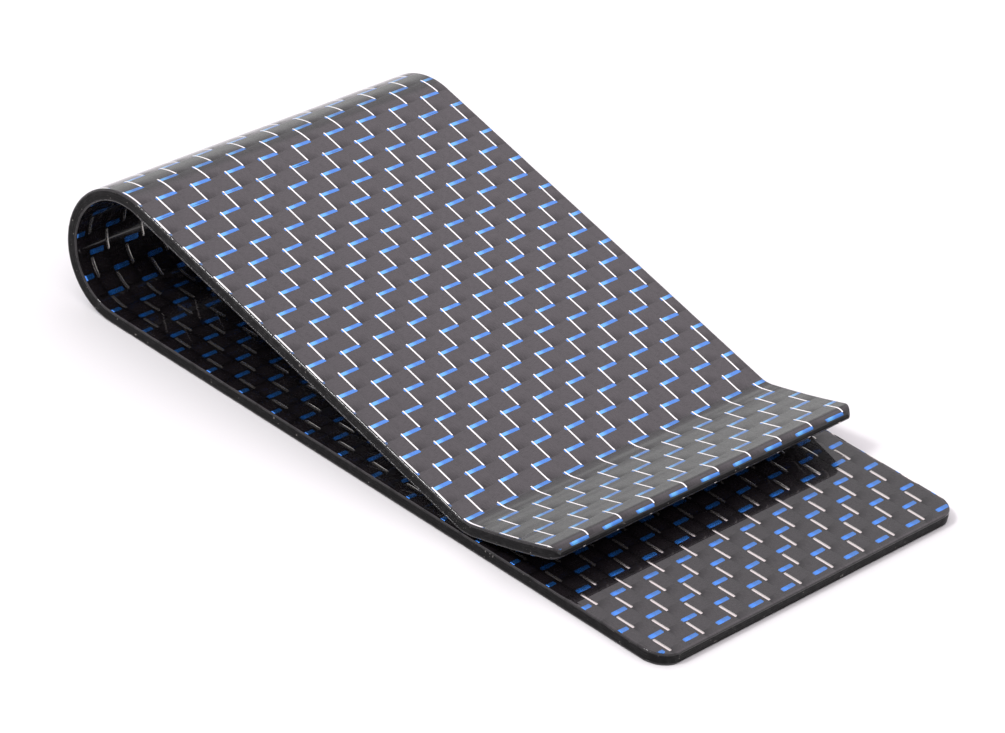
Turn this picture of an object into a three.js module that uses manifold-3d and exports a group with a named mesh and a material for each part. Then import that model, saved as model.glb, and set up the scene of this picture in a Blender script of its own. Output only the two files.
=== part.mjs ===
// Carbon fibre money clip: one woven laminate folded into a flat base, a round bow and a sprung arm.
// Millimetres. X runs across the clip, +Y points from the open end to the bow, Z is up.
// The underside of the base lies at Z = 0, below the middle of the clip.
import * as THREE from 'three';
import { mergeVertices } from 'three/addons/utils/BufferGeometryUtils.js';
import Module from 'manifold-3d';

const wasm = await Module();
wasm.setup();

// Driving dimensions
const LENGTH = 68.2;              // front edge of the base to the back of the bow
const WIDTH = 37.6;
const SHEET = 1.1;                // thickness of the cured laminate
const PLY_BOND = 0.02;            // resin film between two plies
const BOW_RADIUS = 6.15;          // outside of the bow
const ARM_SLOPE = THREE.MathUtils.degToRad(14.2);
const LIP_SLOPE = THREE.MathUtils.degToRad(15.8);
const LIP_BEND_RADIUS = 3;        // upper surface of the bend between arm and lip
const LIP_LENGTH = 8.5;           // straight part of the lip
const CONTACT_GAP = 0.08;         // between the bend and the base when the clip is closed
const BASE_CORNER_RADIUS = 2.2;
const LIP_CORNER_RADIUS = 1;
const SEAM_INSET = 2;             // flat stretch of the bow zone at each of its ends
const ARC_STEP = THREE.MathUtils.degToRad(4);
const CORNER_STEPS = 8;

// The plies, from the outside of the fold to its inside
const PLIES = ['outer_weave_ply', 'core_ply_outer', 'core_ply_middle', 'core_ply_inner', 'inner_weave_ply'];
const PLY_THICKNESS = (SHEET - PLY_BOND * (PLIES.length - 1)) / PLIES.length;

// Derived places on the side profile, as (Y, Z)
const FRONT = -LENGTH / 2;
const BOW_CENTRE = new THREE.Vector2(LENGTH / 2 - BOW_RADIUS, BOW_RADIUS);
const BEND_CENTRE_Z = 2 * SHEET + CONTACT_GAP + LIP_BEND_RADIUS;
const BEND_REACH = BOW_RADIUS + LIP_BEND_RADIUS
  - Math.cos(ARM_SLOPE) * (BEND_CENTRE_Z - BOW_CENTRE.y);
const BEND_CENTRE = new THREE.Vector2(BOW_CENTRE.x - BEND_REACH / Math.sin(ARM_SLOPE), BEND_CENTRE_Z);

// A station is a point on the laminate's outside face with the normal that points out of the fold.
function station(point, normalAngle) {
  const normal = new THREE.Vector2(Math.cos(normalAngle), Math.sin(normalAngle));
  return { point, normal };
}

function arcStations(centre, radius, startAngle, endAngle, side) {
  const steps = Math.ceil(Math.abs(endAngle - startAngle) / ARC_STEP);
  const stations = [];
  for (let i = 0; i <= steps; i += 1) {
    const angle = THREE.MathUtils.lerp(startAngle, endAngle, i / steps);
    const spoke = new THREE.Vector2(Math.cos(angle), Math.sin(angle));
    const point = centre.clone().addScaledVector(spoke, radius);
    stations.push({ point, normal: spoke.multiplyScalar(side) });
  }
  return stations;
}

function baseStations() {
  return [
    station(new THREE.Vector2(FRONT, 0), -Math.PI / 2),
    station(new THREE.Vector2(BOW_CENTRE.x - SEAM_INSET, 0), -Math.PI / 2),
  ];
}

// The arm leaves the bow where the bow's outward normal has turned past the vertical by the slope.
const ARM_NORMAL_ANGLE = Math.PI / 2 + ARM_SLOPE;
const ARM_DIRECTION = new THREE.Vector2(-Math.cos(ARM_SLOPE), -Math.sin(ARM_SLOPE));

function armStart(inset) {
  const normal = new THREE.Vector2(Math.cos(ARM_NORMAL_ANGLE), Math.sin(ARM_NORMAL_ANGLE));
  const tangent = BOW_CENTRE.clone().addScaledVector(normal, BOW_RADIUS);
  return station(tangent.addScaledVector(ARM_DIRECTION, inset), ARM_NORMAL_ANGLE);
}

function bowStations() {
  const bottom = station(new THREE.Vector2(BOW_CENTRE.x - SEAM_INSET, 0), -Math.PI / 2);
  const arc = arcStations(BOW_CENTRE, BOW_RADIUS, -Math.PI / 2, ARM_NORMAL_ANGLE, 1);
  return [bottom, ...arc, armStart(SEAM_INSET)];
}

function armStations() {
  const arcStart = ARM_NORMAL_ANGLE - Math.PI;
  const arcEnd = -Math.PI / 2 - LIP_SLOPE;
  const bend = arcStations(BEND_CENTRE, LIP_BEND_RADIUS, arcStart, arcEnd, -1);
  const last = bend[bend.length - 1];
  const lipDirection = new THREE.Vector2(-Math.cos(LIP_SLOPE), Math.sin(LIP_SLOPE));
  const lipEnd = last.point.clone().addScaledVector(lipDirection, LIP_LENGTH);
  return [armStart(SEAM_INSET), ...bend, { point: lipEnd, normal: last.normal }];
}

// The side profile of one ply, and that profile drawn across the whole width
function plyStrip(stations, plyIndex) {
  const nearDepth = plyIndex * (PLY_THICKNESS + PLY_BOND);
  const farDepth = nearDepth + PLY_THICKNESS;
  const faceAt = (depth) => stations.map(({ point, normal }) => point.clone().addScaledVector(normal, -depth));
  const outline = [...faceAt(nearDepth), ...faceAt(farDepth).reverse()];
  const strip = new THREE.ExtrudeGeometry(new THREE.Shape(outline), { depth: WIDTH, bevelEnabled: false });
  const profileToClip = new THREE.Matrix4().makeBasis(
    new THREE.Vector3(0, 1, 0),
    new THREE.Vector3(0, 0, 1),
    new THREE.Vector3(1, 0, 0),
  );
  return strip.translate(0, 0, -WIDTH / 2).applyMatrix4(profileToClip);
}

// The seam faces of two zones of one ply are bonded, so each zone stops half a resin film short.
function trimEnds(stations, trimFirst, trimLast) {
  const moved = (from, towards) => {
    const way = towards.point.clone().sub(from.point).normalize();
    return { point: from.point.clone().addScaledVector(way, PLY_BOND / 2), normal: from.normal };
  };
  const result = [...stations];
  if (trimFirst) {
    result[0] = moved(stations[0], stations[1]);
  }
  if (trimLast) {
    result[result.length - 1] = moved(stations[stations.length - 1], stations[stations.length - 2]);
  }
  return result;
}

// The plan outline with two rounded front corners, extruded upwards through the whole clip
function planBlock(frontY, cornerRadius) {
  const half = WIDTH / 2;
  const margin = 1;
  const plan = new THREE.Shape();
  plan.moveTo(half, LENGTH / 2 + margin);
  plan.lineTo(-half, LENGTH / 2 + margin);
  plan.lineTo(-half, frontY + cornerRadius);
  plan.absarc(-half + cornerRadius, frontY + cornerRadius, cornerRadius, Math.PI, 1.5 * Math.PI);
  plan.absarc(half - cornerRadius, frontY + cornerRadius, cornerRadius, 1.5 * Math.PI, 2 * Math.PI);
  plan.closePath();
  const height = 4 * BOW_RADIUS;
  const block = new THREE.ExtrudeGeometry(plan, {
    depth: height,
    bevelEnabled: false,
    curveSegments: CORNER_STEPS,
  });
  return block.translate(0, 0, -height / 4);
}

function toSolid(geometry) {
  const bare = geometry.clone();
  bare.deleteAttribute('normal');
  bare.deleteAttribute('uv');
  const merged = mergeVertices(bare, 1e-4);
  return new wasm.Manifold(new wasm.Mesh({
    numProp: 3,
    vertProperties: merged.attributes.position.array,
    triVerts: new Uint32Array(merged.index.array),
  }));
}

function toGeometry(solid) {
  const { vertProperties, triVerts } = solid.getMesh();
  const geometry = new THREE.BufferGeometry();
  geometry.setAttribute('position', new THREE.BufferAttribute(vertProperties, 3));
  geometry.setIndex(new THREE.BufferAttribute(triVerts, 1));
  geometry.computeVertexNormals();
  return geometry;
}

function roundedFront(strip, frontY, cornerRadius) {
  return toGeometry(toSolid(strip).intersect(toSolid(planBlock(frontY, cornerRadius))));
}

function plyMaterial(name) {
  const isFace = name.includes('weave');
  return new THREE.MeshStandardMaterial({
    color: isFace ? 0x1d1c1f : 0x17171a,
    roughness: isFace ? 0.12 : 0.55,
    metalness: 0,
  });
}

function addPly(group, zone, ply, geometry) {
  const mesh = new THREE.Mesh(geometry, plyMaterial(ply));
  mesh.name = `${zone}_${ply}`;
  group.add(mesh);
}

const clip = new THREE.Group();
const baseZone = trimEnds(baseStations(), false, true);
const bowZone = trimEnds(bowStations(), true, true);
const armZone = trimEnds(armStations(), true, false);

// The lip is cut square to its own slope, so its plan outline starts at the foremost of its two edges.
const lipEnd = armZone[armZone.length - 1];
const lipFront = Math.min(lipEnd.point.x, lipEnd.point.x - lipEnd.normal.x * SHEET);

PLIES.forEach((ply, index) => {
  addPly(clip, 'base', ply, roundedFront(plyStrip(baseZone, index), FRONT, BASE_CORNER_RADIUS));
  addPly(clip, 'bow', ply, plyStrip(bowZone, index));
  addPly(clip, 'arm', ply, roundedFront(plyStrip(armZone, index), lipFront, LIP_CORNER_RADIUS));
});

export default clip;
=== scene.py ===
"""Carbon fibre money clip, in metres: +X across the clip, +Y from the open end to the bow, +Z up.
It is one laminate of five plies, folded into a flat base, a round bow and a sprung arm with a raised lip."""
import math

import bpy
from mathutils import Matrix, Vector, noise


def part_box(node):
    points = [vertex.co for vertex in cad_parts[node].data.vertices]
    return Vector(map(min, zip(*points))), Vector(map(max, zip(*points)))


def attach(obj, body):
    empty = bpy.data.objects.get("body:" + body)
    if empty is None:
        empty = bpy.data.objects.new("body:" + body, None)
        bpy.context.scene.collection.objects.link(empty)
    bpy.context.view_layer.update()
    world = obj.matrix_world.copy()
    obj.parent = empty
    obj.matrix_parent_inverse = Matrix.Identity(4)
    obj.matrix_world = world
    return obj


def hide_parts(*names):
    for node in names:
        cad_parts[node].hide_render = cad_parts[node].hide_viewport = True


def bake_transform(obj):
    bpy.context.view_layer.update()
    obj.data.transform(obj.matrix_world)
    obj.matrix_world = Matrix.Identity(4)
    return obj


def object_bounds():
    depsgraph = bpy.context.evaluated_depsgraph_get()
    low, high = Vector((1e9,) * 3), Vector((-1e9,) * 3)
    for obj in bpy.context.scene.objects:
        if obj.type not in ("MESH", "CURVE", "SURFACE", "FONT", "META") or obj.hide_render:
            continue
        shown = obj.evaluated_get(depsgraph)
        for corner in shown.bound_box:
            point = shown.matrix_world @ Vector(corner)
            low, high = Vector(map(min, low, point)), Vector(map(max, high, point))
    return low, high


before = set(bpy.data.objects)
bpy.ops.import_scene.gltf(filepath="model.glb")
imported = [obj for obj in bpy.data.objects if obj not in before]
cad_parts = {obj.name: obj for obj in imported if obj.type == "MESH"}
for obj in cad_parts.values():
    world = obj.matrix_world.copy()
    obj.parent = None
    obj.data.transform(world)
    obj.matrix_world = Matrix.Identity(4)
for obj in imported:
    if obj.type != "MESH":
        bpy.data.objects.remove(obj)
cad_low, cad_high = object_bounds()


# ---------------------------------------------------------------------------------------------------------
# Core plies. Three sheets of plain black carbon cloth in epoxy, which give the laminate its thickness. They
# are cured between the two woven faces round one mould, so that only their cut edges show, sawn and rubbed
# down dark and a little uneven. At the lip they end under the outer ply, which is drawn over the nose.
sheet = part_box("base_inner_weave_ply")[1].z
ply_names = ["outer_weave_ply", "core_ply_outer", "core_ply_middle", "core_ply_inner", "inner_weave_ply"]
ply = sheet / len(ply_names)
half_width = cad_high.x
front = cad_low.y
bow_radius = (cad_high.z - cad_low.z) / 2
bow_centre = Vector((cad_high.y - bow_radius, bow_radius))
arm_slope = math.radians(14.2)
lip_slope = math.radians(15.8)
lip_flare = math.radians(3.0)  # the lip curves by this much either way about its slope
lip_bend_radius = 0.003
lip_length = 0.0085
contact_gap = 0.00008
corner_radii = {"base": 0.0022, "bow": 0.0, "arm": 0.001}
seam_inset = 0.002
lip_nose = 0.00085  # radius of the rounded tip of the lip
nose_wrap = 0.00062  # how far down the nose the outer ply reaches
thinnest = 0.000006  # what is left of a ply where it runs out under the nose
bonded_arris = 0.00003
most_rounded = 0.9  # share of a ply's thickness that the roundings of its two arrises may take
ring_spacing = 0.0005
closest_rings = 0.000002  # rings closer than this are one
corner_steps, arris_steps, nose_steps = 12, 5, 20
edge_band = 0.0004
edge_unevenness = 0.00004
edge_setback = 0.2 * edge_unevenness
edge_waves = 1100  # per metre
shift_by_ply, shift_by_side = 3.1, 9  # so that no two edges wander alike
end_nearness = 0.3  # strength of an arris's lumps at a free end, against 1 along the sides
bend_fade = 0.002  # length over which the ripples of bent cloth grow
bend_lead = 0.001  # how far before the lip's bend they start
most_bent = {"base": 0.0, "bow": 0.3, "arm": 1.0}
core_cloth = (0.0, 0.0, 0.002, 0.002)
core_dark = (0.0015, 0.0015, 0.0016)
core_light = (0.006, 0.0058, 0.0060)
# Tone of the pale flecks painted as highlights on the sawn edges.
fleck_highlight_colour = (0.16, 0.15, 0.14)
sawn_roughness, resin_roughness = 0.5, 0.3
resin_film = 0.1


def on_circle(centre, radius, angle, side=1):
    """A point on the outside face and the normal that points out of the fold, both as (Y, Z)."""
    spoke = Vector((math.cos(angle), math.sin(angle)))
    return centre + spoke * radius, spoke * side


def straight_run(start, end, normal):
    """Evenly spaced (point, normal) pairs along a flat stretch of the outside face."""
    count = max(2, math.ceil((end - start).length / ring_spacing))
    return [(start.lerp(end, i / count), normal) for i in range(count + 1)]


def round_run(centre, radius, first, last, side):
    """The same along an arc of the outside face, from one angle to another, at half the spacing."""
    count = math.ceil(abs(last - first) * (radius + sheet) / ring_spacing) * 2
    return [on_circle(centre, radius, first + (last - first) * i / count, side) for i in range(count + 1)]


def folded_line():
    """The outside face from the front of the base to the tip of the lip, one list for each zone."""
    bend_z = 2 * sheet + contact_gap + lip_bend_radius
    reach = bow_radius + lip_bend_radius - math.cos(arm_slope) * (bend_z - bow_centre.y)
    bend_centre = Vector((bow_centre.x - reach / math.sin(arm_slope), bend_z))
    down = Vector((0, -1))
    arm_normal = math.pi / 2 + arm_slope
    arm_way = Vector((-math.cos(arm_slope), -math.sin(arm_slope)))
    lower_seam = Vector((bow_centre.x - seam_inset, 0))
    bow = round_run(bow_centre, bow_radius, -math.pi / 2, arm_normal, 1)
    bow_top, top_normal = bow[-1]
    upper_seam = bow_top + arm_way * seam_inset
    bend_end = -math.pi / 2 - lip_slope + lip_flare
    bend = round_run(bend_centre, lip_bend_radius, arm_normal - math.pi, bend_end, -1)
    lip_radius = (lip_length + lip_bend_radius * lip_flare) / (2 * lip_flare)
    lip_centre = bend_centre + bend[-1][1] * (lip_radius - lip_bend_radius)
    lip = round_run(lip_centre, lip_radius, bend_end, bend_end - 2 * lip_flare, -1)
    below_bow = straight_run(lower_seam, bow[0][0], down)
    above_bow = straight_run(bow_top, upper_seam, top_normal)
    flat_of_arm = straight_run(upper_seam, bend[0][0], top_normal)
    return {
        "base": straight_run(Vector((front, 0)), lower_seam, down),
        "bow": below_bow[:-1] + bow[:-1] + above_bow,
        "arm": flat_of_arm[:-1] + bend + lip[1:],
    }


zones = folded_line()
lip_and_bend = lip_length + lip_bend_radius * (arm_slope + lip_slope) + bend_lead
free_end = {"base": 0, "bow": None, "arm": -1}  # which place of a zone's line is a free end


def nose_depth(to_tip):
    """How far the rounded tip of the lip lies below its outside face, at this distance from the very end."""
    return lip_nose - math.sqrt(lip_nose**2 - max(lip_nose - to_tip, 0.0) ** 2)


def face_lengths(depth):
    """Distance along the face at this depth below the outside, from the front of the base, for each zone."""
    lengths, run, last = {}, 0.0, None
    for zone, line in zones.items():
        lengths[zone] = []
        for point, normal in line:
            here = point - normal * depth
            run += (here - last).length if last is not None else 0.0
            last = here
            lengths[zone].append(run)
    return lengths


def ring(half, top, bottom, top_round, bottom_round, steps=4):
    """One turn round a ply's section as (X, depth), outside face first, with a line beside each arris."""
    quarter = [math.pi / 2 * i / steps for i in range(steps + 1)]
    upper = [
        (half - top_round + top_round * math.sin(a), top + top_round - top_round * math.cos(a))
        for a in quarter
    ]
    inner = half - bottom_round
    lower = [
        (inner + bottom_round * math.cos(a), bottom - bottom_round + bottom_round * math.sin(a))
        for a in quarter
    ]
    right = [(half - edge_band, top)] + upper + lower + [(half - edge_band, bottom)]
    return right + [(-x, depth) for x, depth in reversed(right)]


def edge_pairs(turn):
    """The side walls of a ring: the one run between the two rounded arrises on the right and its mirror."""
    half = turn // 2
    last_upper = half // 2 - 1
    return [{last_upper, last_upper + 1}, {turn - 1 - last_upper, turn - 2 - last_upper}]


def closed_tube(ring_count, turn):
    """Faces of a tube of rings with both its ends closed, and for each face whether it is a cut edge."""
    faces, cut = [], []
    walls = edge_pairs(turn)
    for i in range(ring_count - 1):
        here, there = i * turn, (i + 1) * turn
        for k in range(turn):
            j = (k + 1) % turn
            faces.append((there + k, there + j, here + j, here + k))
            cut.append({k, j} in walls)
    faces += [tuple(range(turn)), tuple(reversed(range((ring_count - 1) * turn, ring_count * turn)))]
    return faces, cut + [True, True]


def finish_free_end(rows, end, corner_radius, arris, stops_short):
    """More rows close to a free end, so that its plan corners, its arris and the lip's nose are round."""
    extra = {corner_radius * (1 - math.cos(math.pi / 2 * i / corner_steps)) for i in range(corner_steps)}
    extra |= {arris * (1 - math.cos(math.pi / 2 * i / arris_steps)) for i in range(1, arris_steps)}
    if end != 0:
        extra |= {lip_nose * (1 - math.sin(math.pi / 2 * i / nose_steps)) for i in range(nose_steps)}
        extra.add(stops_short)
    tip, inner = (rows[0], rows[1]) if end == 0 else (rows[-1], rows[-2])
    along = (inner[0] - tip[0]).normalized()
    sign = 1 if end == 0 else -1
    kept = [row for row in rows if row[3] > corner_radius]
    distances = [d for d in sorted(extra) if d >= stops_short]
    distances = [d for i, d in enumerate(distances) if i == 0 or d - distances[i - 1] > closest_rings]
    added = [(tip[0] + along * d, tip[1], tip[2] + sign * d, d) for d in distances]
    return sorted(kept + added, key=lambda row: row[2])


def how_bent(zone, lengths, length):
    """How strongly the cloth is bent at this length along a zone, from 0 on the flat to 1 on the lip."""
    bend_start = {"base": math.inf, "bow": lengths[0], "arm": lengths[-1] - lip_and_bend}[zone]
    bend_stop = lengths[-1] if zone == "bow" else math.inf
    into_bend = min(length - bend_start, bend_stop - length) / bend_fade
    return most_bent[zone] * min(1.0, max(0.0, into_bend))


def ply_piece(zone, index, top_round, bottom_round, materials, cloth):
    """A closed sheet for one zone of one ply. The first material is for its faces, the second for its edges.
    The cloth is given as its first column and row and the width and length of one square, counted on the
    outside face for the outer ply and on the inside face for the others."""
    top, bottom = index * ply, (index + 1) * ply
    lengths = face_lengths(top if index == 0 else sheet)[zone]
    end, corner_radius = free_end[zone], corner_radii[zone]
    arris = max(top_round, bottom_round)
    under_nose = zone == "arm" and bottom < sheet - thinnest
    stops_short = nose_depth(min(top, nose_wrap) if index else nose_wrap) if under_nose else 0.0
    rows = []
    for (point, normal), length in zip(zones[zone], lengths):
        to_end = abs(length - lengths[end]) if end is not None else math.inf
        rows.append((point, normal, length, to_end))
    if end is not None:
        rows = finish_free_end(rows, end, corner_radius, arris, stops_short)
    vertices, places, nearness, bends = [], [], [], []
    for point, normal, length, to_end in rows:
        near = max(corner_radius - to_end, 0.0)
        half = half_width - corner_radius + math.sqrt(corner_radius**2 - near**2)
        drop = 0.0 if under_nose else arris - math.sqrt(arris**2 - max(arris - to_end, 0.0) ** 2)
        upper, lower = top + min(drop, top_round), bottom - min(drop, bottom_round)
        if under_nose and index:
            upper = max(upper, min(nose_depth(to_end) + ply, bottom - thinnest))
        elif under_nose and to_end < lip_nose:
            upper = nose_depth(to_end)
            lower = max(lower, upper + ply)
            length = lengths[end] - lip_nose + lip_nose * math.asin(1 - to_end / lip_nose)
        fit = min(1.0, most_rounded * (lower - upper) / (top_round + bottom_round))
        loop = ring(half - drop, upper, lower, top_round * fit, bottom_round * fit)
        for x, depth in loop:
            side = math.copysign(1, x)
            wander = Vector((length * edge_waves, index * shift_by_ply, side * shift_by_side))
            rough = noise.noise(wander) * edge_unevenness
            outwards = max(0.0, (abs(x) - half + edge_band) / edge_band)
            at = point - normal * depth
            vertices.append((x - side * (abs(rough) + edge_setback) * outwards, at.x, at.y))
            places.append((x, length))
            nearness.append(max(outwards, end_nearness - to_end / edge_band, 0.0))
        bends += [how_bent(zone, lengths, length)] * len(loop)
    faces, cut = closed_tube(len(rows), len(loop))
    name = f"{zone}_{ply_names[index]}_sheet"
    mesh = bpy.data.meshes.new(name)
    mesh.from_pydata(vertices, [], faces)
    for material in materials:
        mesh.materials.append(material)
    mesh.polygons.foreach_set("material_index", [int(is_cut) for is_cut in cut])
    mesh.attributes.new("arris", "FLOAT", "POINT").data.foreach_set("value", nearness)
    mesh.attributes.new("bent", "FLOAT", "POINT").data.foreach_set("value", bends)
    layer = mesh.uv_layers.new(name="cloth")
    column, row, across, along = cloth
    for corner in mesh.loops:
        x, length = places[corner.vertex_index]
        layer.data[corner.index].uv = ((x - column) / across, (length - row) / along)
    mesh.shade_smooth()
    mesh.set_sharp_from_angle(angle=math.radians(35))
    mesh.update()
    piece = bpy.data.objects.new(name, mesh)
    bpy.context.scene.collection.objects.link(piece)
    return piece


def node(tree, kind, inputs=None, **settings):
    """A node with its plain settings, and its inputs given as values or as sockets to link."""
    made = tree.nodes.new(kind)
    for key, value in settings.items():
        setattr(made, key, value)
    for key, value in (inputs or {}).items():
        if isinstance(value, bpy.types.NodeSocket):
            tree.links.new(value, made.inputs[key])
        else:
            made.inputs[key].default_value = value
    return made


def cut_edge_group():
    """Sawn laminate: streaks that run with the plies, pools of resin, and a few pale flecks that are painted
    highlights.
    """
    group = bpy.data.node_groups.new("sawn_laminate", "ShaderNodeTree")
    face = group.interface
    for name in ("Dark", "Light", "Fleck highlight"):
        face.new_socket(name, in_out="INPUT", socket_type="NodeSocketColor")
    face.new_socket("Color", in_out="OUTPUT", socket_type="NodeSocketColor")
    for name in ("Roughness", "Resin", "Height"):
        face.new_socket(name, in_out="OUTPUT", socket_type="NodeSocketFloat")
    given = node(group, "NodeGroupInput").outputs
    place = node(group, "ShaderNodeTexCoord").outputs["Object"]

    def noise_of(vector, scale, detail):
        inputs = {"Vector": vector, "Scale": scale, "Detail": detail}
        return node(group, "ShaderNodeTexNoise", inputs).outputs[0]

    def above(value, low, high):
        return node(
            group, "ShaderNodeMapRange", {"Value": value, "From Min": low, "From Max": high},
            interpolation_type="SMOOTHSTEP",
        ).outputs[0]

    def blend(factor, a, b):
        return node(group, "ShaderNodeMix", {0: factor, 6: a, 7: b}, data_type="RGBA").outputs[2]

    drawn = node(group, "ShaderNodeMapping", {"Vector": place, "Scale": (0.25, 0.25, 1.6)}).outputs[0]
    streaks = noise_of(drawn, 9000.0, 3.0)
    patches = noise_of(place, 2200.0, 2.0)
    pools = above(patches, 0.48, 0.60)
    resin = node(group, "ShaderNodeMath", {0: pools, 1: resin_film}, operation="MULTIPLY").outputs[0]
    # Painted highlights: a few pale flecks on the sawn edge.
    fleck_highlights = above(noise_of(place, 3800.0, 1.0), 0.73, 0.78)
    tone = blend(fleck_highlights, blend(streaks, given["Dark"], given["Light"]), given["Fleck highlight"])
    roughness = node(group, "ShaderNodeMix", {0: resin, 2: sawn_roughness, 3: resin_roughness}).outputs[0]
    height = node(group, "ShaderNodeMath", {0: streaks, 1: patches}, operation="ADD").outputs[0]
    made = {"Color": tone, "Roughness": roughness, "Resin": resin, "Height": height}
    node(group, "NodeGroupOutput", made)
    return group


sawn_laminate = cut_edge_group()


def cut_edge_material(name, dark, light):
    """The sawn edge of one kind of ply, between its darkest and its lightest tone."""
    material = bpy.data.materials.new(name)
    material.use_nodes = True
    tree = material.node_tree
    shader = tree.nodes["Principled BSDF"]
    cut = node(tree, "ShaderNodeGroup", node_tree=sawn_laminate)
    cut.inputs["Dark"].default_value = (*dark, 1)
    cut.inputs["Light"].default_value = (*light, 1)
    cut.inputs["Fleck highlight"].default_value = (*fleck_highlight_colour, 1)
    height = cut.outputs["Height"]
    bump = node(tree, "ShaderNodeBump", {"Height": height, "Strength": 0.6, "Distance": 0.00003})
    shader.inputs["Specular IOR Level"].default_value = 0.12
    tree.links.new(cut.outputs["Color"], shader.inputs["Base Color"])
    tree.links.new(cut.outputs["Roughness"], shader.inputs["Roughness"])
    tree.links.new(cut.outputs["Resin"], shader.inputs["Coat Weight"])
    shader.inputs["Coat Roughness"].default_value = 0.16
    tree.links.new(bump.outputs["Normal"], shader.inputs["Normal"])
    return material


core_edge = cut_edge_material("core_cut_edge", core_dark, core_light)


def follow(piece, zone):
    """The piece rides on its own body. On the bow it stays where it is, with its placement baked into its
    mesh."""
    if zone == "bow":
        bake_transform(piece)
    else:
        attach(piece, zone)


def settle(piece, zone, node_name):
    """The piece takes its CAD node's place, which is hidden, and follows its zone."""
    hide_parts(node_name)
    follow(piece, zone)


for index in (1, 2, 3):
    for zone in zones:
        core = ply_piece(zone, index, bonded_arris, bonded_arris, [core_edge, core_edge], core_cloth)
        settle(core, zone, f"{zone}_{ply_names[index]}")


# ---------------------------------------------------------------------------------------------------------
# Woven face plies. Plain weave of flat black carbon tows, one sheet on the outside of the fold and one on
# the inside, under clear epoxy that has cured as smooth as glass, with a slight ripple where the cloth is
# bent. The epoxy is drawn round the arrises, and the outer sheet goes with it over the nose of the lip.
tow_across = 0.0020
tow_along = 0.001912
face_weaves = {
    "outer": (0.001464, 0.000735, tow_across, tow_along),
    "inner": (0.000602, 0.000900, tow_across, tow_along),
}
face_arris = 0.00018
carbon_dark = (0.0015, 0.0012, 0.0014)
carbon_light = (0.0065, 0.0052, 0.0062)
face_edge_dark = (0.0025, 0.0025, 0.0027)
face_edge_light = (0.009, 0.0086, 0.0090)
fibres_across, fibres_along = 22.0, 4.0
roundness_across, roundness_along = 0.35, 0.6  # of a tow: 0 is flat with square sides, 1 is a full arch
fibre_contrast, fibre_relief = 0.9, 0.08
# The last of these is how much shine is taken off the epoxy to paint shade where a lengthwise tow dives.
film_weight, film_grain, painted_dip_shade = 0.95, 0.65, 0.45
flat_ripple, bent_ripple = 0.015, 1.3
epoxy_roughness = 0.02


def weave_group():
    """Plain weave on a place counted in tows: how light each tow is, darker towards its edges as painted
    shade and with random fibre tone, how high it lies, and how strongly the epoxy over it shines, which is
    lowered to paint shade where a lengthwise tow dives under the next crosswise one."""
    group = bpy.data.node_groups.new("plain_weave", "ShaderNodeTree")
    face = group.interface
    face.new_socket("Place", in_out="INPUT", socket_type="NodeSocketVector")
    for name in ("Shade", "Height", "Film and dip shade"):
        face.new_socket(name, in_out="OUTPUT", socket_type="NodeSocketFloat")
    given = node(group, "NodeGroupInput").outputs

    def maths(operation, a, b=0.0):
        return node(group, "ShaderNodeMath", {0: a, 1: b}, operation=operation).outputs[0]

    apart = node(group, "ShaderNodeSeparateXYZ", {0: given["Place"]})
    u, v = apart.outputs["X"], apart.outputs["Y"]
    cell = maths("ADD", maths("FLOOR", u), maths("FLOOR", v))
    weft_on_top = maths("FLOORED_MODULO", cell, 2.0)
    in_u, in_v = maths("FRACT", u), maths("FRACT", v)

    def pick(warp, weft):
        return node(group, "ShaderNodeMix", {0: weft_on_top, 2: warp, 3: weft}).outputs[0]

    across, along = pick(in_u, in_v), pick(in_v, in_u)
    crown_across = maths("POWER", maths("SINE", maths("MULTIPLY", across, math.pi)), roundness_across)
    crown_along = maths("POWER", maths("SINE", maths("MULTIPLY", along, math.pi)), roundness_along)
    height = maths("MULTIPLY", crown_across, crown_along)
    fibre, stretch = maths("MULTIPLY", across, fibres_across), maths("MULTIPLY", along, fibres_along)
    thread = node(group, "ShaderNodeCombineXYZ", {0: fibre, 1: stretch, 2: cell}).outputs[0]
    fibres = node(group, "ShaderNodeTexNoise", {"Vector": thread, "Scale": 1.0, "Detail": 2.0}).outputs[0]
    unevenly = maths("SUBTRACT", fibres, 0.5)
    lit = maths("MULTIPLY", unevenly, fibre_contrast)
    # Painted shade: the tone follows the tow's height, darker towards its edges, with random fibre tone on
    # top.
    shade = node(group, "ShaderNodeMath", {0: height, 1: lit}, operation="ADD", use_clamp=True).outputs[0]
    relief = maths("ADD", height, maths("MULTIPLY", fibres, fibre_relief))
    # Painted shade: the epoxy's shine is lowered in a patch where each lengthwise tow dives under the next
    # crosswise one, so the cloth looks darker there.
    diving = node(
        group, "ShaderNodeMapRange", {"Value": in_v, "From Min": 0.35, "From Max": 0.95},
        interpolation_type="SMOOTHSTEP",
    ).outputs[0]
    beside = node(group, "ShaderNodeMapRange", {"Value": in_u, "From Min": 0.75, "From Max": 0.0}).outputs[0]
    dip_shade = maths("MULTIPLY", maths("MULTIPLY", diving, beside), maths("SUBTRACT", 1.0, weft_on_top))
    grained = maths("ADD", film_weight, maths("MULTIPLY", unevenly, film_grain))
    shine = maths("SUBTRACT", grained, maths("MULTIPLY", dip_shade, painted_dip_shade))
    coat_and_dip_shade = node(group, "ShaderNodeClamp", {0: shine}).outputs[0]
    node(group, "NodeGroupOutput", {"Shade": shade, "Height": relief, "Film and dip shade": coat_and_dip_shade})
    return group


plain_weave = weave_group()


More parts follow.
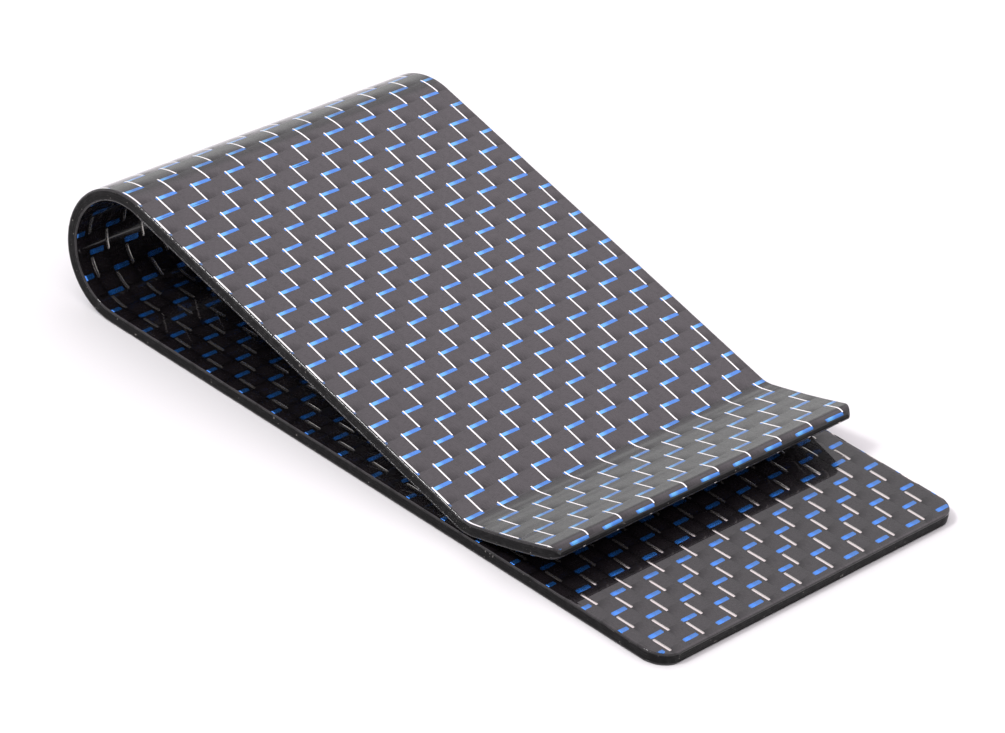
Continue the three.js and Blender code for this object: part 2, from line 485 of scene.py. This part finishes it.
def epoxy_surface(tree):
    """Height of the epoxy: flat over flat cloth, streaky where the cloth is bent, and lumpy at an arris."""
    place = node(tree, "ShaderNodeTexCoord").outputs["Object"]
    drawn = node(tree, "ShaderNodeMapping", {"Vector": place, "Scale": (0.06, 1.0, 1.0)}).outputs[0]
    streaks = node(tree, "ShaderNodeTexNoise", {"Vector": drawn, "Scale": 850.0, "Detail": 1.0}).outputs[0]
    lumps = node(tree, "ShaderNodeTexNoise", {"Vector": place, "Scale": 1500.0, "Detail": 2.0}).outputs[0]
    arris = node(tree, "ShaderNodeAttribute", attribute_name="arris").outputs["Fac"]
    lumpy = node(tree, "ShaderNodeMath", {0: lumps, 1: arris}, operation="MULTIPLY").outputs[0]
    bent = node(tree, "ShaderNodeAttribute", attribute_name="bent").outputs["Fac"]
    deep = {0: bent, 1: bent_ripple, 2: flat_ripple}
    depth = node(tree, "ShaderNodeMath", deep, operation="MULTIPLY_ADD").outputs[0]
    height = {0: streaks, 1: depth, 2: lumpy}
    return node(tree, "ShaderNodeMath", height, operation="MULTIPLY_ADD").outputs[0]


def woven_carbon(name):
    """Black woven cloth, dull by itself, under clear epoxy with a shine and a surface of its own."""
    material = bpy.data.materials.new(name)
    material.use_nodes = True
    tree = material.node_tree
    shader = tree.nodes["Principled BSDF"]
    place = node(tree, "ShaderNodeUVMap", uv_map="cloth").outputs["UV"]
    weave = node(tree, "ShaderNodeGroup", node_tree=plain_weave)
    tree.links.new(place, weave.inputs["Place"])
    # Base colour runs from the dark to the light carbon by the painted shade of the weave and its random
    # fibre tone.
    tone = node(
        tree,
        "ShaderNodeMix",
        {0: weave.outputs["Shade"], 6: (*carbon_dark, 1), 7: (*carbon_light, 1)},
        data_type="RGBA",
    ).outputs[2]
    raised, surface = weave.outputs["Height"], epoxy_surface(tree)
    bump = node(tree, "ShaderNodeBump", {"Height": raised, "Strength": 0.5, "Distance": 0.00005})
    ripple = node(tree, "ShaderNodeBump", {"Height": surface, "Strength": 1.0, "Distance": 0.00006})
    tree.links.new(tone, shader.inputs["Base Color"])
    tree.links.new(bump.outputs["Normal"], shader.inputs["Normal"])
    tree.links.new(ripple.outputs["Normal"], shader.inputs["Coat Normal"])
    shader.inputs["Roughness"].default_value = 0.42
    shader.inputs["Specular IOR Level"].default_value = 0.07
    # The coat's weight carries random grain and the painted shade where tows dive.
    tree.links.new(weave.outputs["Film and dip shade"], shader.inputs["Coat Weight"])
    shader.inputs["Coat Roughness"].default_value = epoxy_roughness
    shader.inputs["Coat IOR"].default_value = 1.5
    return material


face_cloth = woven_carbon("epoxied_carbon_weave")
face_edge = cut_edge_material("face_cut_edge", face_edge_dark, face_edge_light)
face_finish = [face_cloth, face_edge]

for zone in zones:
    outer = ply_piece(zone, 0, face_arris, bonded_arris, face_finish, face_weaves["outer"])
    settle(outer, zone, f"{zone}_outer_weave_ply")
    inner = ply_piece(zone, 4, bonded_arris, face_arris, face_finish, face_weaves["inner"])
    settle(inner, zone, f"{zone}_inner_weave_ply")


# ---------------------------------------------------------------------------------------------------------
# Silver tracer threads. Flat metallised threads woven in beside every lengthwise tow of both face plies.
# Each one floats over a crosswise tow and dives under the next, so that it shows as short bright dashes,
# which stand a few hundredths of a millimetre proud of the cloth.
silver_width = {"outer": 0.00018, "inner": 0.00034}
silver_length = {"outer": tow_along * 1.15, "inner": tow_along * 0.98}
silver_aside = {"outer": 0.0, "inner": 0.000165}
silver_middle = {"outer": tow_along * 0.42, "inner": tow_along * 0.33}
silver_rise = {"outer": 0.000020, "inner": 0.000030}
silver_roughness = {"outer": 0.3, "inner": 0.24}
silver_crown = {"outer": 0.4, "inner": 0.8}
silver_colour = {"outer": (0.97, 0.95, 0.94), "inner": (0.52, 0.49, 0.465)}
silver_ribs = 0.8  # tone of the ribs against the rest of the thread
silver_metal = 0.95
rim_sink = 0.000004  # the rim of a dash lies this far below the face
thread_turn, thread_size, thread_height = 0.02, 0.04, 0.2  # how much the dashes differ from each other
thread_drift = 0.00003
weld_distance = 0.0000002
same_place = 1e-9
columns_beside = 12
rows_before, rows_spare = 2, 5
over_seam, over_front, over_tip = 0.5, 0.1, 0.2  # past the end of a zone, in dash lengths
end_steps = 12
clear_of_end = 1.2  # radii by which the flat part of a line stays away from a rounded end


def thread_tree():
    """Lays a dash of thread over every second crossing of a flat face, then folds it to the face's line."""
    tree = bpy.data.node_groups.new("lay_tracer_threads", "GeometryNodeTree")
    face = tree.interface
    face.new_socket("Line of the face", in_out="INPUT", socket_type="NodeSocketGeometry")
    for name in (
        "First column", "Column spacing", "First row", "Row spacing", "Size across", "Size along", "Rise",
        "Sink", "Crown", "Half width", "Corner radius", "Free end", "From", "To", "Over from", "Over to",
        "Side", "Unevenness",
    ):
        face.new_socket(name, in_out="INPUT", socket_type="NodeSocketFloat")
    for name in ("Columns", "Rows", "Odd crossings", "Cuts across", "Cuts along", "Seed"):
        face.new_socket(name, in_out="INPUT", socket_type="NodeSocketInt")
    face.new_socket("Material", in_out="INPUT", socket_type="NodeSocketMaterial")
    face.new_socket("Threads", in_out="OUTPUT", socket_type="NodeSocketGeometry")
    given = node(tree, "NodeGroupInput").outputs

    def maths(operation, a, b=0.0, c=0.0):
        return node(tree, "ShaderNodeMath", {0: a, 1: b, 2: c}, operation=operation).outputs[0]

    def compare(operation, a, b):
        return node(
            tree, "FunctionNodeCompare", {"A": a, "B": b}, data_type="FLOAT", operation=operation
        ).outputs[0]

    def either(a, b):
        return node(tree, "FunctionNodeBooleanMath", {0: a, 1: b}, operation="OR").outputs[0]

    def xyz(x, y, z):
        return node(tree, "ShaderNodeCombineXYZ", {0: x, 1: y, 2: z}).outputs[0]

    def random(low, high, salt):
        seed = maths("ADD", given["Seed"], salt)
        return node(
            tree, "FunctionNodeRandomValue", {"Min": low, "Max": high, "Seed": seed}, data_type="FLOAT"
        ).outputs[1]

    # One dash, domed across and along, with its rim sunk below the face
    grid = node(
        tree,
        "GeometryNodeMeshGrid",
        {
            "Size X": given["Size across"],
            "Size Y": given["Size along"],
            "Vertices X": given["Cuts across"],
            "Vertices Y": given["Cuts along"],
        },
    ).outputs["Mesh"]
    on_grid = node(tree, "GeometryNodeInputPosition").outputs[0]
    at = node(tree, "ShaderNodeSeparateXYZ", {0: on_grid}).outputs
    part_across = maths("DIVIDE", maths("MULTIPLY", at["X"], 2.0), given["Size across"])
    part_along = maths("DIVIDE", maths("MULTIPLY", at["Y"], 2.0), given["Size along"])

    def bulge(part):
        return maths("SUBTRACT", 1.0, maths("POWER", maths("ABSOLUTE", part), 3.0))

    hump = maths("MAXIMUM", maths("MULTIPLY", bulge(part_across), bulge(part_along)), 0.0)
    dome = maths("POWER", hump, given["Crown"])
    whole_height = maths("ADD", given["Rise"], given["Sink"])
    lift = maths("SUBTRACT", maths("MULTIPLY", dome, whole_height), given["Sink"])
    domed = {"Geometry": grid, "Offset": xyz(0.0, 0.0, lift)}
    dash = node(tree, "GeometryNodeSetPosition", domed).outputs[0]
    dash = node(
        tree,
        "GeometryNodeStoreNamedAttribute",
        {"Geometry": dash, "Name": "along_thread", "Value": xyz(part_across, part_along, 0.0)},
        data_type="FLOAT_VECTOR",
        domain="POINT",
    ).outputs[0]

    # The crossings of the flat, developed face that show a dash
    count = maths("MULTIPLY", given["Columns"], given["Rows"])
    index = node(tree, "GeometryNodeInputIndex").outputs[0]
    row = maths("FLOOR", maths("DIVIDE", maths("ADD", index, 0.5), given["Columns"]))
    column = maths("SUBTRACT", index, maths("MULTIPLY", row, given["Columns"]))
    x = maths("MULTIPLY_ADD", column, given["Column spacing"], given["First column"])
    y = maths("MULTIPLY_ADD", row, given["Row spacing"], given["First row"])
    spots = {"Count": count, "Position": xyz(x, y, 0.0)}
    crossings = node(tree, "GeometryNodePoints", spots).outputs[0]
    odd = maths("FLOORED_MODULO", maths("ADD", maths("ADD", column, row), given["Odd crossings"]), 2.0)
    half_across = maths("MULTIPLY", given["Size across"], 0.5)
    inner_side = maths("SUBTRACT", maths("ABSOLUTE", x), half_across)
    hidden = either(
        compare("GREATER_THAN", odd, 0.5),
        either(
            compare("GREATER_THAN", inner_side, given["Half width"]),
            either(
                compare("GREATER_THAN", maths("SUBTRACT", y, given["Over to"]), given["To"]),
                compare("LESS_THAN", maths("ADD", y, given["Over from"]), given["From"]),
            ),
        ),
    )
    shown = node(tree, "GeometryNodeDeleteGeometry", {"Geometry": crossings, "Selection": hidden}).outputs[0]
    uneven = given["Unevenness"]
    spread = maths("MULTIPLY", uneven, -1.0)
    turn = maths("MULTIPLY", random(-1.0, 1.0, 1.0), thread_turn)
    turned = node(tree, "ShaderNodeCombineXYZ", {2: turn}).outputs[0]
    thinner, thicker = 1 - thread_size, 1 + thread_size
    rise = random(1 - thread_height, 1 + thread_height, 4.0)
    sized = xyz(random(thinner, thicker, 2.0), random(thinner, thicker, 3.0), rise)
    nudged = node(
        tree,
        "GeometryNodeSetPosition",
        {"Geometry": shown, "Offset": xyz(random(spread, uneven, 5.0), random(spread, uneven, 6.0), 0.0)},
    ).outputs[0]
    laid = node(
        tree,
        "GeometryNodeInstanceOnPoints",
        {"Points": nudged, "Instance": dash, "Rotation": turned, "Scale": sized},
    ).outputs[0]
    flat = node(tree, "GeometryNodeRealizeInstances", {"Geometry": laid}).outputs[0]

    # Trimmed to the outline of the face, and folded along its line
    line = node(tree, "GeometryNodeMeshToCurve", {"Mesh": given["Line of the face"]}).outputs[0]
    on_flat = node(tree, "GeometryNodeInputPosition").outputs[0]
    here = node(tree, "ShaderNodeSeparateXYZ", {0: on_flat}).outputs
    length = maths("MINIMUM", maths("MAXIMUM", here["Y"], given["From"]), given["To"])
    to_end = maths("ABSOLUTE", maths("SUBTRACT", length, given["Free end"]))
    near = maths("MAXIMUM", maths("SUBTRACT", given["Corner radius"], to_end), 0.0)
    square = maths("SUBTRACT", maths("POWER", given["Corner radius"], 2.0), maths("POWER", near, 2.0))
    cut = maths("SUBTRACT", given["Corner radius"], maths("SQRT", maths("MAXIMUM", square, 0.0)))
    limit = maths("SUBTRACT", given["Half width"], cut)
    trimmed = maths("MINIMUM", maths("MAXIMUM", here["X"], maths("MULTIPLY", limit, -1.0)), limit)
    sample = {"Curves": line, "Length": length}
    on_line = node(tree, "GeometryNodeSampleCurve", sample, mode="LENGTH").outputs
    inwards = node(
        tree, "ShaderNodeVectorMath", {0: (1.0, 0.0, 0.0), 1: on_line["Tangent"]}, operation="CROSS_PRODUCT"
    ).outputs[0]
    raised = node(
        tree,
        "ShaderNodeVectorMath",
        {0: inwards, "Scale": maths("MULTIPLY", here["Z"], given["Side"])},
        operation="SCALE",
    ).outputs[0]
    sideways = xyz(trimmed, 0.0, 0.0)
    across = node(tree, "ShaderNodeVectorMath", {0: on_line["Position"], 1: sideways}).outputs[0]
    place = node(tree, "ShaderNodeVectorMath", {0: across, 1: raised}).outputs[0]
    folded = node(tree, "GeometryNodeSetPosition", {"Geometry": flat, "Position": place}).outputs[0]
    weld = {"Geometry": folded, "Distance": weld_distance}
    joined = node(tree, "GeometryNodeMergeByDistance", weld).outputs[0]
    smooth = node(tree, "GeometryNodeSetShadeSmooth", {"Geometry": joined}).outputs[0]
    finish = {"Geometry": smooth, "Material": given["Material"]}
    done = node(tree, "GeometryNodeSetMaterial", finish).outputs[0]
    whole = node(tree, "GeometryNodeRealizeInstances", {"Geometry": done}).outputs[0]
    node(tree, "NodeGroupOutput", {"Threads": whole})
    return tree


lay_threads = thread_tree()
nose_turn = math.acos(1 - nose_wrap / lip_nose)
faces = {
    "outer": {
        "lengths": face_lengths(0.0),
        "depth": 0.0,
        "side": -1.0,
        "silver_odd": 0,
        "blue_odd": 0,
        "tip": (lip_nose, nose_turn),
    },
    "inner": {
        "lengths": face_lengths(sheet),
        "depth": sheet,
        "side": 1.0,
        "silver_odd": 1,
        "blue_odd": 0,
        "tip": (face_arris, math.pi / 2),
    },
}
face_margin = face_arris * 0.8


def round_the_end(line, radius, turn):
    """The last stretch of a face's line, replaced by the arc of its arris, or of the lip's nose."""
    tip, normal = line[-1]
    while (line[-1][0] - tip).length < radius * clear_of_end:
        line = line[:-1]
    way = (tip - line[-1][0]).normalized()
    centre = tip - way * radius - normal * radius
    turned = [turn * i / end_steps for i in range(end_steps + 1)]
    return line + [(centre + (normal * math.cos(a) + way * math.sin(a)) * radius, normal) for a in turned]


def face_line(name, face):
    """An object that holds the line of a whole face, from the front of the base to the tip of the lip."""
    line = [(p - n * face["depth"], n * -face["side"]) for z in zones for p, n in zones[z]]
    line = [pair for i, pair in enumerate(line) if i == 0 or (pair[0] - line[i - 1][0]).length > same_place]
    line = round_the_end(line[::-1], face_arris, math.pi / 2)[::-1]
    line = round_the_end(line, *face["tip"])
    mesh = bpy.data.meshes.new(name)
    mesh.from_pydata([(0, p.x, p.y) for p, _ in line], [(i, i + 1) for i in range(len(line) - 1)], [])
    carrier = bpy.data.objects.new(name, mesh)
    bpy.context.scene.collection.objects.link(carrier)
    return carrier


def lay(name, face_name, zone, odd, values, material):
    """Runs the thread tree on the line of one face and keeps one zone of the result as a plain mesh."""
    face = faces[face_name]
    carrier = face_line(name + "_line", face)
    modifier = carrier.modifiers.new("threads", "NODES")
    modifier.node_group = lay_threads
    lengths = face["lengths"]
    start, stop = lengths[zone][0], lengths[zone][-1]
    first_column, first_row = face_weaves[face_name][:2]
    tip_radius, tip_turn = face["tip"]
    longer_front = (math.pi / 2 - 1) * face_arris  # what rounding the line's two ends adds to its length
    longer_tip = (tip_turn - 1) * tip_radius
    free_ends = {"base": longer_front, "bow": -1.0, "arm": lengths["arm"][-1] + longer_front}
    given = {
        "First column": first_column - columns_beside * tow_across + values["column_shift"],
        "Column spacing": tow_across,
        "Columns": 2 * columns_beside,
        "First row": first_row + longer_front - rows_before * tow_along + values["row_shift"],
        "Row spacing": tow_along,
        "Rows": int(lengths["arm"][-1] / tow_along) + rows_spare,
        "Odd crossings": odd,
        "Size across": values["across"],
        "Size along": values["along"],
        "Cuts across": values["cuts"][0],
        "Cuts along": values["cuts"][1],
        "Rise": values["rise"],
        "Sink": rim_sink,
        "Crown": values["crown"],
        "Half width": half_width - face_margin,
        "Corner radius": corner_radii[zone],
        "Free end": free_ends[zone],
        "From": start + (0.0 if zone == "base" else longer_front),
        "To": stop + longer_front + (longer_tip if zone == "arm" else 0.0),
        "Over from": values["along"] * (over_front if zone == "base" else over_seam),
        "Over to": values["along"] * (over_tip if zone == "arm" else over_seam),
        "Side": face["side"],
        "Unevenness": thread_drift,
        "Seed": values["seed"],
        "Material": material,
    }
    sockets = {i.name: i.identifier for i in lay_threads.interface.items_tree if i.in_out == "INPUT"}
    for key, value in given.items():
        modifier[sockets[key]] = value
    shown = carrier.evaluated_get(bpy.context.evaluated_depsgraph_get())
    threads = bpy.data.objects.new(name, bpy.data.meshes.new_from_object(shown))
    bpy.data.objects.remove(carrier)
    bpy.context.scene.collection.objects.link(threads)
    follow(threads, zone)


def filament_group():
    """Twisted filament: fine slanting ribs, and a painted highlight in another tone where the thread climbs
    over the next one.
    """
    group = bpy.data.node_groups.new("twisted_filament", "ShaderNodeTree")
    for name in ("Dark", "Light", "Climb highlight"):
        group.interface.new_socket(name, in_out="INPUT", socket_type="NodeSocketColor")
    group.interface.new_socket("Color", in_out="OUTPUT", socket_type="NodeSocketColor")
    given = node(group, "NodeGroupInput").outputs
    place = node(group, "ShaderNodeAttribute", attribute_name="along_thread").outputs["Vector"]
    ribs = node(
        group, "ShaderNodeTexWave", {"Vector": place, "Scale": 3.2, "Distortion": 1.2, "Detail": 1.0},
        bands_direction="DIAGONAL",
    ).outputs["Fac"]
    ribbed = node(
        group, "ShaderNodeMix", {0: ribs, 6: given["Dark"], 7: given["Light"]}, data_type="RGBA"
    ).outputs[2]
    along = node(group, "ShaderNodeSeparateXYZ", {0: place}).outputs["X"]
    # Painted highlight: a lighter tone near the end of the dash where it climbs over the next thread.
    rising = node(
        group, "ShaderNodeMapRange", {"Value": along, "From Min": -0.8, "From Max": -0.55},
        interpolation_type="SMOOTHSTEP",
    ).outputs[0]
    falling = node(
        group, "ShaderNodeMapRange", {"Value": along, "From Min": 0.1, "From Max": -0.4},
        interpolation_type="SMOOTHSTEP",
    ).outputs[0]
    climb_highlight = node(group, "ShaderNodeMath", {0: rising, 1: falling}, operation="MULTIPLY").outputs[0]
    tone = node(
        group, "ShaderNodeMix", {0: climb_highlight, 6: ribbed, 7: given["Climb highlight"]}, data_type="RGBA"
    ).outputs[2]
    node(group, "NodeGroupOutput", {"Color": tone})
    return group


twisted_filament = filament_group()


def thread_material(name, dark, light, climb_highlight, roughness, metal):
    """Metallised thread with the epoxy round it."""
    material = bpy.data.materials.new(name)
    material.use_nodes = True
    tree = material.node_tree
    shader = tree.nodes["Principled BSDF"]
    colours = {"Dark": (*dark, 1), "Light": (*light, 1), "Climb highlight": (*climb_highlight, 1)}
    filament = node(tree, "ShaderNodeGroup", node_tree=twisted_filament)
    for key, colour in colours.items():
        filament.inputs[key].default_value = colour
    tree.links.new(filament.outputs["Color"], shader.inputs["Base Color"])
    shader.inputs["Metallic"].default_value = metal
    shader.inputs["Roughness"].default_value = roughness
    shader.inputs["Coat Weight"].default_value = 0.6
    shader.inputs["Coat Roughness"].default_value = epoxy_roughness
    return material


silver_thread = {}
for face_name, colour in silver_colour.items():
    ribs = tuple(silver_ribs * part for part in colour)
    silver_thread[face_name] = thread_material(
        f"silver_tracer_{face_name}", ribs, colour, colour, silver_roughness[face_name], silver_metal
    )

for face_name in faces:
    for zone in zones:
        size = {
            "column_shift": silver_aside[face_name],
            "row_shift": silver_middle[face_name],
            "across": silver_width[face_name],
            "along": silver_length[face_name],
            "cuts": (5, 13),
            "rise": silver_rise[face_name],
            "crown": silver_crown[face_name],
            "seed": 11,
        }
        odd = faces[face_name]["silver_odd"]
        lay(f"{zone}_{face_name}_silver_tracers", face_name, zone, odd, size, silver_thread[face_name])


# ---------------------------------------------------------------------------------------------------------
# Blue tracer threads. Thicker dyed metallic threads beside every crosswise tow. They cross the silver
# ones at the corners of the squares, where they pass below them, so that the two together climb in steps.
blue_width = {"outer": 0.00043, "inner": 0.00054}
blue_length = {"outer": tow_across * 1.30, "inner": tow_across * 0.93}
blue_middle = {"outer": tow_across * 0.45, "inner": tow_across * 0.425}
blue_rise = 0.000007
blue_dark = (0.026, 0.13, 0.43)
blue_light = (0.038, 0.20, 0.56)
# Lighter, greener tones painted as a highlight where each blue dash climbs over the next thread.
blue_climb_highlight = {"outer": (0.085, 0.33, 0.65), "inner": (0.030, 0.22, 0.76)}
blue_crown = 0.4
blue_roughness, blue_metal = 0.26, 0.85
blue_thread = {}
for face_name, climb_highlight in blue_climb_highlight.items():
    blue_thread[face_name] = thread_material(
        f"blue_tracer_{face_name}", blue_dark, blue_light, climb_highlight, blue_roughness, blue_metal
    )

for face_name in faces:
    for zone in zones:
        size = {
            "column_shift": blue_middle[face_name],
            "row_shift": 0.0,
            "across": blue_length[face_name],
            "along": blue_width[face_name],
            "cuts": (8, 5),
            "rise": blue_rise,
            "crown": blue_crown,
            "seed": 23,
        }
        odd = faces[face_name]["blue_odd"]
        lay(f"{zone}_{face_name}_blue_tracers", face_name, zone, odd, size, blue_thread[face_name])


# ---------------------------------------------------------------------------------------------------------
# Table. A matt white sheet that runs out of sight in every direction. The clip lies on it on the flat
# underside of its base.
table_reach = 3.0
table_tone = 0.62
table_mesh = bpy.data.meshes.new("table")
table_mesh.from_pydata(
    [(-table_reach, -table_reach, 0), (table_reach, -table_reach, 0), (table_reach, table_reach, 0),
     (-table_reach, table_reach, 0)],
    [],
    [(0, 1, 2, 3)],
)
table = bpy.data.objects.new("table", table_mesh)
bpy.context.scene.collection.objects.link(table)
table_white = bpy.data.materials.new("table_white")
table_white.use_nodes = True
table_shader = table_white.node_tree.nodes["Principled BSDF"]
table_shader.inputs["Base Color"].default_value = (table_tone, table_tone, table_tone, 1)
table_shader.inputs["Roughness"].default_value = 0.9
table_shader.inputs["Specular IOR Level"].default_value = 0.1
table_mesh.materials.append(table_white)


# ---------------------------------------------------------------------------------------------------------
# Studio light. A white tent, brightest half way up all round, with one soft lamp to the left of the clip,
# which picks out the rounded arrises.
world = bpy.data.worlds.new("white_tent")
world.use_nodes = True
tent = world.node_tree
tent_way = node(tent, "ShaderNodeTexCoord").outputs["Generated"]
height_in_tent = node(tent, "ShaderNodeSeparateXYZ", {0: tent_way})
tent_ramp = node(tent, "ShaderNodeValToRGB", {"Fac": height_in_tent.outputs["Z"]})
tent_levels = [
    (0.00, (0.90, 0.90, 0.90)), (0.08, (1.05, 1.05, 1.05)), (0.20, (1.20, 1.20, 1.20)),
    (0.32, (0.98, 0.96, 0.98)), (0.52, (1.02, 0.98, 1.02)), (0.62, (1.75, 1.59, 1.72)),
    (0.70, (2.04, 1.84, 2.00)), (0.80, (1.72, 1.59, 1.70)), (1.00, (1.10, 1.10, 1.10)),
]
while len(tent_ramp.color_ramp.elements) < len(tent_levels):
    tent_ramp.color_ramp.elements.new(0.5)
brightest = max(max(level) for _, level in tent_levels)
for element, (position, level) in zip(tent_ramp.color_ramp.elements, tent_levels):
    element.position = position
    element.color = (*(part / brightest for part in level), 1)
tent.links.new(tent_ramp.outputs["Color"], tent.nodes["Background"].inputs["Color"])
tent.nodes["Background"].inputs["Strength"].default_value = brightest
bpy.context.scene.world = world
lamp = bpy.data.objects.new("side_lamp", bpy.data.lights.new("side_lamp", "AREA"))
lamp.data.size = 0.16
lamp.data.energy = 4.0
lamp_way = Vector((-0.60, 0.20, 0.75)).normalized()
lamp_distance = 0.8
lamp.location = lamp_way * lamp_distance
lamp.rotation_mode = "QUATERNION"
lamp.rotation_quaternion = lamp_way.to_track_quat("Z", "Y")
bpy.context.scene.collection.objects.link(lamp)
bpy.context.scene.view_settings.view_transform = "Standard"


# ---------------------------------------------------------------------------------------------------------
# Camera. A long lens that looks down on the clip from the near left of its open end, tilted slightly.
azimuth, elevation, tilt = math.radians(-52.2), math.radians(30.67), math.radians(9.58)
distance = 0.4229
aim_right, aim_up = -0.0001, 0.0031
back = Vector((
    math.sin(azimuth) * math.cos(elevation),
    -math.cos(azimuth) * math.cos(elevation),
    math.sin(elevation),
))
level_right = (-back).cross(Vector((0, 0, 1))).normalized()
level_up = level_right.cross(-back)
right = level_right * math.cos(tilt) + level_up * math.sin(tilt)
up = level_up * math.cos(tilt) - level_right * math.sin(tilt)
camera = bpy.data.objects.new("camera", bpy.data.cameras.new("camera"))
camera.data.lens = 181.8
camera.data.sensor_width = 36.0
camera.data.clip_start = 0.01
aim = right * aim_right + up * aim_up
turned = Matrix((right, up, back)).transposed().to_4x4()
camera.matrix_world = Matrix.Translation(aim + back * distance) @ turned
bpy.context.scene.collection.objects.link(camera)
bpy.context.scene.camera = camera
